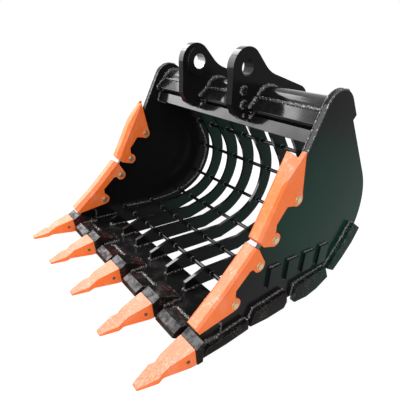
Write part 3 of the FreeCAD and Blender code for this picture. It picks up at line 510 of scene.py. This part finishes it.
COAT_SHARES = {"lip_enamel": 0.25, "side_enamel": 0.40, "black_enamel": 0.75,
               "rib_enamel": 1.0, "ear_enamel": 1.0}
FINISHES = {**{name: black_enamel for name in COAT_SHARES},
            "cast_enamel": cast_enamel, "heel_enamel": cast_enamel,
            "weld_enamel": weld_enamel, "orange_paint": orange_paint,
            "zinc_plating": zinc_plating, "pin_steel": pin_steel}


def finish_named(name):
    """The finish of this name, made when it is first asked for."""
    paint = bpy.context.scene.bucket_paint
    return bpy.data.materials.get(name) or FINISHES[name](paint, name)


def soften(names, finish_name, width):
    """Gives CAD nodes a finish and rounds their sharp edges."""
    finish = finish_named(finish_name)
    for name in names:
        node = NODES[name]
        node.data.materials.clear()
        node.data.materials.append(finish)
        if width <= 0.0:
            continue
        steps = (("join_faces", "WELD", {"merge_threshold": SAME_CORNER}),
                 ("flat_faces", "DECIMATE", {"decimate_type": "DISSOLVE",
                                             "angle_limit": math.radians(0.6)}),
                 ("edge_rounding", "BEVEL", {"width": width, "segments": 2,
                                             "limit_method": "ANGLE",
                                             "angle_limit": math.radians(28.0),
                                             "use_clamp_overlap": True}),
                 ("even_shading", "WEIGHTED_NORMAL", {"keep_sharp": False}))
        for title, kind, settings in steps:
            step = node.modifiers.new(title, kind)
            for setting, value in settings.items():
                setattr(step, setting, value)
        for face in node.data.polygons:
            face.use_smooth = True


def new_piece(name, shape, finish_name):
    """Makes an object of a bmesh and hangs it on the bucket."""
    mesh = bpy.data.meshes.new(name)
    bmesh.ops.recalc_face_normals(shape, faces=shape.faces)
    shape.to_mesh(mesh)
    shape.free()
    for face in mesh.polygons:
        face.use_smooth = True
    piece = bpy.data.objects.new(name, mesh)
    bpy.context.scene.collection.objects.link(piece)
    mesh.materials.append(finish_named(finish_name))
    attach(piece, "root")
    return piece


def inside_box(point):
    """The point, moved into the box round the CAD nodes where it lies outside."""
    return Vector([min(max(value, low), high)
                   for value, low, high in zip(point, CAD_LOW, CAD_HIGH)])


def spaced(points, step, closed):
    """Evenly spaced points along a line of points."""
    line = [Vector(point) for point in points]
    if closed:
        line.append(line[0].copy())
    lengths = [0.0]
    for first, second in zip(line, line[1:]):
        lengths.append(lengths[-1] + (second - first).length)
    count = max(3, round(lengths[-1] / step))
    result = []
    spot = 0
    for index in range(count if closed else count + 1):
        want = lengths[-1] * index / count
        while spot < len(lengths) - 2 and lengths[spot + 1] < want:
            spot += 1
        part = lengths[spot + 1] - lengths[spot]
        share = (want - lengths[spot]) / part if part > 0.0 else 0.0
        result.append(line[spot].lerp(line[spot + 1], min(share, 1.0)))
    return result


def join_rings(shape, rings, closed):
    """Spans faces between rings of corners, and fills both ends of an open run."""
    count = len(rings)
    for index in range(count if closed else count - 1):
        first, second = rings[index], rings[(index + 1) % count]
        for corner in range(len(first)):
            beside = (corner + 1) % len(first)
            shape.faces.new((first[corner], first[beside], second[beside], second[corner]))
    if not closed:
        shape.faces.new(rings[0])
        shape.faces.new(list(reversed(rings[-1])))


def lay_bead(shape, points, radius, closed=False):
    """Adds a rippled weld bead along a line of points."""
    welds = bpy.context.scene.bucket_welds
    centres = spaced(points, welds.ripple / 2.0, closed)
    count = len(centres)
    rings = []
    for index, centre in enumerate(centres):
        before = centres[index - 1] if closed or index else centre
        after = centres[(index + 1) % count] if closed or index < count - 1 else centre
        along = (after - before).normalized()
        guess = Vector((0.0, 0.0, 1.0)) if abs(along.z) < 0.9 else Vector((1.0, 0.0, 0.0))
        across = along.cross(guess).normalized()
        over = across.cross(along)
        crest = 1.0 + (CREST if index % 2 else TROUGH)
        place = centre * WAVE + Vector((welds.seed, 0.0, 0.0))
        wobble = 1.0 + welds.unevenness * noise.noise(place)
        taper = BEAD_END if not closed and index in (0, count - 1) else 1.0
        size = radius * crest * wobble * taper
        ring = []
        for side in range(BEAD_SIDES):
            angle = math.tau * side / BEAD_SIDES
            lump = 1.0 + LUMP * noise.noise(place * 2.0 + Vector((side * 0.7, 3.0, 0.0)))
            spot = centre + (across * math.cos(angle) + over * math.sin(angle)) * size * lump
            ring.append(shape.verts.new(inside_box(spot)))
        rings.append(ring)
    join_rings(shape, rings, closed)


def joined_mesh(name):
    """A CAD node's mesh with its faces joined at their shared corners."""
    shape = bmesh.new()
    shape.from_mesh(NODES[name].data)
    bmesh.ops.remove_doubles(shape, verts=shape.verts, dist=SAME_CORNER)
    return shape


def rounded(ends, digits):
    """A pair of points as plain numbers, so that equal ends compare as equal."""
    return tuple(tuple(round(value, digits) for value in end) for end in ends)


def chains(stretches):
    """Joins stretches that share an end into runs of points, each with whether it closes."""
    beside = {}
    for first, second in stretches:
        beside.setdefault(first, []).append(second)
        beside.setdefault(second, []).append(first)
    unused = {frozenset(pair) for pair in stretches}
    starts = [spot for spot in beside if len(beside[spot]) != 2]
    starts += [spot for spot in beside if len(beside[spot]) == 2]
    runs = []
    for start in starts:
        while True:
            run = [start]
            while True:
                ways = [spot for spot in beside[run[-1]]
                        if frozenset((run[-1], spot)) in unused]
                if not ways:
                    break
                unused.discard(frozenset((run[-1], ways[0])))
                run.append(ways[0])
                if len(beside[ways[0]]) != 2 or ways[0] == start:
                    break
            if len(run) < 2:
                break
            closed = run[0] == run[-1]
            runs.append(([Vector(spot) for spot in (run[:-1] if closed else run)], closed))
    return runs


def seam(name, against):
    """The lines where the sharp edges of one CAD node lie on the surface of another."""
    shape = joined_mesh(name)
    other = joined_mesh(against)
    tree = BVHTree.FromBMesh(other)
    reach_low, reach_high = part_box(against)
    stretches = []
    for edge in shape.edges:
        if len(edge.link_faces) != 2 or edge.calc_face_angle() < math.radians(20.0):
            continue
        first, second = edge.verts[0].co, edge.verts[1].co
        steps = max(1, math.ceil((second - first).length / SEAM_STEP))
        spots = [first.lerp(second, step / steps) for step in range(steps + 1)]
        hits = [all(low - TOUCH <= value <= high + TOUCH for value, low, high
                    in zip(spot, reach_low, reach_high))
                and tree.find_nearest(spot)[3] <= TOUCH for spot in spots]
        for here, there, first_hit, second_hit in zip(spots, spots[1:], hits, hits[1:]):
            if first_hit and second_hit:
                stretches.append(rounded((here, there), 6))
    other.free()
    shape.free()
    return [(points, closed) for points, closed in chains(stretches)
            if sum((b - a).length for a, b in zip(points, points[1:])) >= SHORTEST_SEAM]


def weld_seams(name, pairs, radius, keep=None):
    """One piece of weld along the seams of several pairs of CAD nodes."""
    shape = bmesh.new()
    for first, second in pairs:
        for points, closed in seam(first, second):
            if keep and not keep(points):
                continue
            lay_bead(shape, points, radius, closed)
    if not shape.faces:
        shape.free()
        raise RuntimeError("no seam was found for %s" % name)
    return new_piece(name, shape, "weld_enamel")


def plate_lines(name, face, convex, keep):
    """The sharp lines of a side plate on one of its faces, as runs of points."""
    shape = joined_mesh(name)
    stretches = []
    for edge in shape.edges:
        if len(edge.link_faces) != 2 or edge.is_convex != convex:
            continue
        if edge.calc_face_angle() < math.radians(60.0):
            continue
        ends = [vert.co for vert in edge.verts]
        if all(abs(end.x - face) < TOUCH for end in ends) and keep(*ends):
            stretches.append(rounded(ends, 5))
    shape.free()
    return chains(stretches)


def level(first, second):
    """Whether a line runs more along than up."""
    return abs(first.y - second.y) > abs(first.z - second.z)


def leading(first, second):
    """Whether a line is on the leading edge above the protectors."""
    middle = (first + second) / 2.0
    rear, foot = LEADING_EDGE
    return middle.y < rear and middle.z > foot and (second - first).length > SHORTEST_LINE


def ring_points(centre, radius):
    """Points round an axis along X."""
    return [centre + Vector((0.0, math.cos(math.tau * step / RING_STEPS) * radius,
                             math.sin(math.tau * step / RING_STEPS) * radius))
            for step in range(RING_STEPS)]


def turned(shape, centre, profile, way):
    """Adds a body turned about an axis along X; profile is (height, radius) pairs."""
    rings = []
    for height, radius in profile:
        ring = []
        for step in range(TURNED_STEPS):
            angle = math.tau * step / TURNED_STEPS
            ring.append(shape.verts.new(inside_box(centre + Vector((
                way * height, math.cos(angle) * radius, math.sin(angle) * radius)))))
        rings.append(ring)
    join_rings(shape, rings, False)


def curve_through(points):
    """A smooth line through the points."""
    points = ([points[0] * 2.0 - points[1]] + points + [points[-1] * 2.0 - points[-2]])
    line = []
    for before, start, end, after in zip(points, points[1:], points[2:], points[3:]):
        for step in range(CURVE_STEPS):
            share = step / CURVE_STEPS
            line.append((start * 2.0 + (end - before) * share
                         + (before * 2.0 - start * 5.0 + end * 4.0 - after) * share ** 2
                         + (start * 3.0 - before - end * 3.0 + after) * share ** 3) / 2.0)
    return line


def middle_of(name):
    """The middle of a CAD node's box."""
    low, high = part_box(name)
    return (low + high) / 2.0


def inner_face(side):
    """Where the inner face of a side plate lies along X."""
    low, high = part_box("side_plate_%s" % side)
    return low.x if side == "right" else high.x


class PaintFrame(Operator):
    """Gives the plates, ribs and rods their gloss black enamel"""
    bl_idname = "bucket.paint_frame"
    bl_label = "Plates, Ribs and Rods"

    def execute(self, context):
        paint = context.scene.bucket_paint
        soften(SIDE_PLATES, "side_enamel", paint.edge_round)
        soften(TOP_PLATES, "black_enamel", paint.edge_round)
        soften(["lip_plate"], "lip_enamel", paint.edge_round)
        soften(RIBS, "rib_enamel", paint.edge_round * THIN_ROUND)
        soften(RODS, "black_enamel", 0.0)
        return {"FINISHED"}


class PaintEars(Operator):
    """Gives the ears their enamel, with bare steel in the pin bores"""
    bl_idname = "bucket.paint_ears"
    bl_label = "Ears"

    def execute(self, context):
        soften(EARS, "ear_enamel", context.scene.bucket_paint.edge_round)
        return {"FINISHED"}


class PaintCastings(Operator):
    """Gives the adapters, lip shrouds and heel shrouds their cast enamel"""
    bl_idname = "bucket.paint_castings"
    bl_label = "Black Castings"

    def execute(self, context):
        width = context.scene.bucket_paint.cast_round
        soften(ADAPTERS + LIP_SHROUDS, "cast_enamel", width)
        soften(HEEL_SHROUDS, "heel_enamel", width)
        return {"FINISHED"}


class PaintWearParts(Operator):
    """Gives the teeth and side protectors their orange paint"""
    bl_idname = "bucket.paint_wear_parts"
    bl_label = "Teeth and Protectors"

    def execute(self, context):
        soften(TEETH + GUARDS, "orange_paint", context.scene.bucket_paint.cast_round)
        return {"FINISHED"}


class FitFasteners(Operator):
    """Plates the bolts and pins, and adds a washer under each bolt head and nut"""
    bl_idname = "bucket.fit_fasteners"
    bl_label = "Bolts, Washers and Pins"

    def execute(self, context):
        fasteners = context.scene.bucket_fasteners
        thick = fasteners.washer_thick
        bevel_high, bevel_wide = WASHER_BEVEL
        soften(BOLTS, "zinc_plating", context.scene.bucket_paint.edge_round * THIN_ROUND)
        soften(TOOTH_PINS, "pin_steel", 0.0)
        for side in SIDES:
            shape = bmesh.new()
            for number in range(1, 5):
                low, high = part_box("bolt_%s_%d" % (side, number))
                middle = (low + high) / 2.0
                radius = (high.y - low.y) / 2.0 + fasteners.washer_over
                guard = "protector_%s_%s" % ("lower" if number < 3 else "upper", side)
                guard_low, guard_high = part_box(guard)
                for way, face in ((1, guard_high.x), (-1, guard_low.x)):
                    centre = Vector((face, middle.y, middle.z))
                    turned(shape, centre, [(-FOOT, radius), (thick, radius),
                                           (thick + bevel_high, radius - bevel_wide)], way)
            new_piece("guard_washers_%s" % side, shape, "zinc_plating")
        return {"FINISHED"}


class FitEarBosses(Operator):
    """Adds the two pin retainer bosses on the outside of each ear, with their welds"""
    bl_idname = "bucket.fit_ear_bosses"
    bl_label = "Ear Bosses"

    def execute(self, context):
        fasteners = context.scene.bucket_fasteners
        radius, tall = fasteners.boss_radius, fasteners.boss_tall
        bead = context.scene.bucket_welds.plate_bead
        for side in SIDES:
            low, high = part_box("ear_%s" % side)
            way, face = (1, high.x) if side == "right" else (-1, low.x)
            bosses, welds = bmesh.new(), bmesh.new()
            for y, z in EAR_BOSSES:
                centre = Vector((face, y, z))
                profile = [(tall * up, radius * out) for up, out in BOSS_PROFILE]
                turned(bosses, centre, [(-FOOT, radius), *profile], way)
                lay_bead(welds, ring_points(centre, radius * 1.05), bead, True)
            lay_bead(welds, [Vector((face, y, z)) for y, z in EAR_BOSS_TAIL], bead)
            new_piece("ear_bosses_%s" % side, bosses, "black_enamel")
            new_piece("ear_boss_welds_%s" % side, welds, "weld_enamel")
        return {"FINISHED"}


class WeldGrid(Operator):
    """Welds every cross rod to every rib, and the rods to the side plates"""
    bl_idname = "bucket.weld_grid"
    bl_label = "Rib and Rod Welds"

    def execute(self, context):
        radius = context.scene.bucket_welds.rod_bead
        for rib in RIBS:
            rib_low, rib_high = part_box(rib)
            shape = bmesh.new()
            for rod in RODS:
                low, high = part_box(rod)
                centre = (low + high) / 2.0
                reach = (high.y - low.y) / 2.0
                for face in (rib_low.x, rib_high.x):
                    centre.x = face
                    lay_bead(shape, ring_points(centre, reach - radius * 0.2), radius, True)
            new_piece("%s_welds" % rib, shape, "weld_enamel")
        weld_seams("rod_end_welds", [(rod, "side_plate_%s" % side)
                                     for rod in RODS for side in SIDES], radius)
        line = curve_through([middle_of(rod) for rod in RODS])
        shape = bmesh.new()
        for side in SIDES:
            face = inner_face(side)
            lay_bead(shape, [Vector((face, spot.y, spot.z)) for spot in line], radius * 1.3)
        new_piece("side_floor_welds", shape, "weld_enamel")
        return {"FINISHED"}


class WeldTop(Operator):
    """Welds the tube, ears, beam and back plate"""
    bl_idname = "bucket.weld_top"
    bl_label = "Tube, Ear and Beam Welds"

    def execute(self, context):
        welds = context.scene.bucket_welds
        plates = ["side_plate_%s" % side for side in SIDES]
        tube_low, tube_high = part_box("torque_tube")
        middle = (tube_low + tube_high) / 2.0
        reach = (tube_high.z - tube_low.z) / 2.0

        def outside(points):
            """Whether a seam runs round the outside of the tube, and not round its bore."""
            return max(math.hypot(point.y - middle.y, point.z - middle.z)
                       for point in points) > reach * 0.95

        weld_seams("tube_welds", [("torque_tube", plate) for plate in plates],
                   welds.tube_bead, outside)
        weld_seams("ear_welds", [(ear, other) for ear in EARS
                                 for other in ("torque_tube", "mouth_beam", "back_plate")],
                   welds.tube_bead)
        weld_seams("beam_welds", [("mouth_beam", plate) for plate in plates]
                   + [("mouth_beam", "torque_tube"), ("back_plate", "torque_tube")]
                   + [("back_plate", plate) for plate in plates], welds.plate_bead)
        return {"FINISHED"}


class WeldMouth(Operator):
    """Welds the lip, its adapters and shrouds, and the rib feet"""
    bl_idname = "bucket.weld_mouth"
    bl_label = "Lip Welds"

    def execute(self, context):
        welds = context.scene.bucket_welds
        weld_seams("lip_end_welds", [("side_plate_%s" % side, "lip_plate")
                                     for side in SIDES], welds.plate_bead)
        weld_seams("adapter_welds", [(adapter, "lip_plate") for adapter in ADAPTERS],
                   welds.tube_bead)
        weld_seams("lip_shroud_welds", [(shroud, "lip_plate") for shroud in LIP_SHROUDS],
                   welds.tube_bead)
        weld_seams("rib_foot_welds", [(rib, "lip_plate") for rib in RIBS], welds.plate_bead)
        dabs = bmesh.new()
        for rib in RIBS:
            low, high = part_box(rib)
            foot = Vector(((low.x + high.x) / 2.0, low.y - 0.001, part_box("lip_plate")[1].z))
            lay_bead(dabs, [foot + Vector(step) for step in RIB_DAB], welds.tube_bead)
        new_piece("rib_foot_dabs", dabs, "weld_enamel")
        return {"FINISHED"}


class FitLipCorners(Operator):
    """Fills the lower front corner of each side plate, between the protector and the lip"""
    bl_idname = "bucket.fit_lip_corners"
    bl_label = "Lip Corners"

    def execute(self, context):
        welds = context.scene.bucket_welds
        tooth_line = middle_of("tooth_pin_1")
        lip_low, lip_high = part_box("lip_plate")
        for side in SIDES:
            way = 1.0 if side == "right" else -1.0
            faces = (inner_face(side) + way * SUNK, way * (lip_high.x - SUNK))
            shape = bmesh.new()
            rims = [[shape.verts.new((x, tooth_line.y + y, tooth_line.z + z))
                     for y, z in LIP_CORNER] for x in faces]
            join_rings(shape, rims, False)
            bmesh.ops.bevel(shape, geom=shape.edges[:], offset=0.002, segments=2,
                            affect="EDGES", clamp_overlap=True)
            corner = new_piece("lip_corner_%s" % side, shape, "side_enamel")
            corner.modifiers.new("even_shading", "WEIGHTED_NORMAL")
            beads = bmesh.new()
            for x in faces:
                for line, share in ((LIP_CORNER_FOOT, 1.0), (LIP_CORNER[3:6], 0.8)):
                    lay_bead(beads, [Vector((x, tooth_line.y + y, tooth_line.z + z))
                                     for y, z in line], welds.plate_bead * share)
            new_piece("lip_corner_welds_%s" % side, beads, "weld_enamel")
        return {"FINISHED"}


class WeldHeel(Operator):
    """Welds the pads and heel shrouds to the side plates"""
    bl_idname = "bucket.weld_heel"
    bl_label = "Heel Welds"

    def execute(self, context):
        radius = context.scene.bucket_welds.heel_bead
        for side in SIDES:
            plate = "side_plate_%s" % side
            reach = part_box("lip_plate")[1].x
            outer = reach if side == "right" else -reach
            beads = bmesh.new()
            for points, closed in plate_lines(plate, outer, False, level):
                lay_bead(beads, points, radius * 0.75, closed)
            for face in (inner_face(side), outer):
                for points, closed in plate_lines(plate, face, True, leading):
                    lay_bead(beads, points, radius * 0.45, closed)
            if not beads.faces:
                raise RuntimeError("no pad or edge was found on the %s side plate" % side)
            new_piece("plate_welds_%s" % side, beads, "weld_enamel")
            weld_seams("heel_welds_%s" % side,
                       [("heel_shroud_%s_%d" % (side, number), plate)
                        for number in range(1, 5)], radius)
        return {"FINISHED"}


class SetStage(Operator):
    """Sets the floor, the room, four soft lamps and the camera"""
    bl_idname = "bucket.set_stage"
    bl_label = "Stage"

    def execute(self, context):
        stage = context.scene.bucket_stage
        self.floor(stage)
        self.room(context.scene, stage)
        middle = (CAD_LOW + CAD_HIGH) / 2.0
        for name, place, width, power in LAMPS:
            self.lamp(name, place, middle, width, getattr(stage, power))
        self.camera(context.scene, stage)
        context.scene.view_settings.view_transform = "Standard"
        return {"FINISHED"}

    def floor(self, stage):
        mesh = bpy.data.meshes.new("floor")
        corners = [(-1, -1), (1, -1), (1, 1), (-1, 1)]
        mesh.from_pydata([(x * FLOOR_REACH, y * FLOOR_REACH, CAD_LOW.z) for x, y in corners],
                         [], [(0, 1, 2, 3)])
        floor = bpy.data.objects.new("floor", mesh)
        bpy.context.scene.collection.objects.link(floor)
        finish = Finish("pale_floor")
        soft = finish.grain(scale=0.8)
        colour = soft.blend(stage.floor_colour, dimmed(stage.floor_colour, FLOOR_MOTTLE))
        plain = finish.node("ShaderNodeBsdfDiffuse", {}, {"Color": colour})
        shade = finish.node("ShaderNodeBsdfDiffuse", {}, {"Color": whole_colour(FLOOR_SHADE)})
        glow = finish.node("ShaderNodeEmission", {}, {
            "Color": whole_colour(1.0), "Strength": 1.0 - FLOOR_SHADE * stage.room_light})
        seen = finish.node("ShaderNodeAddShader", {}, {0: shade, 1: glow})
        finish.end(finish.node("ShaderNodeMixShader", {}, {
            0: finish.direct_view(), 1: plain, 2: seen}))
        mesh.materials.append(finish.owner)

    def room(self, scene, stage):
        room = NodeSet(bpy.data.worlds.new("room"))
        scene.world = room.owner
        strength = room.node("ShaderNodeMapRange", {}, {
            "Value": room.direct_view(), "To Min": stage.room_light, "To Max": 1.0})
        sky = room.node("ShaderNodeBackground", {}, {"Color": whole_colour(1.0),
                                                     "Strength": strength})
        room.node("ShaderNodeOutputWorld", {}, {"Surface": sky})

    def lamp(self, name, place, aim, width, power):
        data = bpy.data.lights.new(name, "AREA")
        data.shape = "SQUARE"
        data.size = width
        data.energy = power
        lamp = bpy.data.objects.new(name, data)
        bpy.context.scene.collection.objects.link(lamp)
        lamp.location = place
        lamp.rotation_euler = (aim - Vector(place)).to_track_quat("-Z", "Y").to_euler()

    def camera(self, scene, stage):
        data = bpy.data.cameras.new("camera")
        data.lens = stage.camera_lens
        data.sensor_width = SENSOR_WIDTH
        data.dof.use_dof = False
        camera = bpy.data.objects.new("camera", data)
        scene.collection.objects.link(camera)
        turn = (Matrix.Rotation(stage.camera_yaw, 4, "Z")
                @ Matrix.Rotation(math.radians(90.0) + stage.camera_pitch, 4, "X")
                @ Matrix.Rotation(stage.camera_roll, 4, "Z"))
        camera.matrix_world = Matrix.Translation(stage.camera_place) @ turn
        scene.camera = camera


class BucketPanel(Panel):
    """Lists the steps that dress the bucket"""
    bl_idname = "VIEW3D_PT_rock_bucket"
    bl_label = "Rock Bucket"
    bl_space_type = "VIEW_3D"
    bl_region_type = "UI"
    bl_category = "Rock Bucket"

    def draw(self, context):
        for step in STEPS:
            self.layout.operator(step.bl_idname)
        for group in ("bucket_paint", "bucket_welds", "bucket_fasteners", "bucket_stage"):
            settings = getattr(context.scene, group)
            box = self.layout.box()
            for name in settings.__annotations__:
                box.prop(settings, name)


GROUPS = {"bucket_paint": BucketPaint, "bucket_welds": BucketWelds,
          "bucket_fasteners": BucketFasteners, "bucket_stage": BucketStage}
STEPS = (PaintFrame, PaintEars, PaintCastings, PaintWearParts, FitFasteners, FitEarBosses,
         FitLipCorners, WeldGrid, WeldTop, WeldMouth, WeldHeel, SetStage)


def register():
    for name, group in GROUPS.items():
        bpy.utils.register_class(group)
        setattr(bpy.types.Scene, name, PointerProperty(type=group))
    for step in STEPS:
        bpy.utils.register_class(step)
    bpy.utils.register_class(BucketPanel)


def unregister():
    bpy.utils.unregister_class(BucketPanel)
    for step in reversed(STEPS):
        bpy.utils.unregister_class(step)
    for name, group in GROUPS.items():
        delattr(bpy.types.Scene, name)
        bpy.utils.unregister_class(group)


def main():
    register()
    for step in STEPS:
        family, name = step.bl_idname.split(".")
        getattr(getattr(bpy.ops, family), name)()


if __name__ == "__main__":
    main()
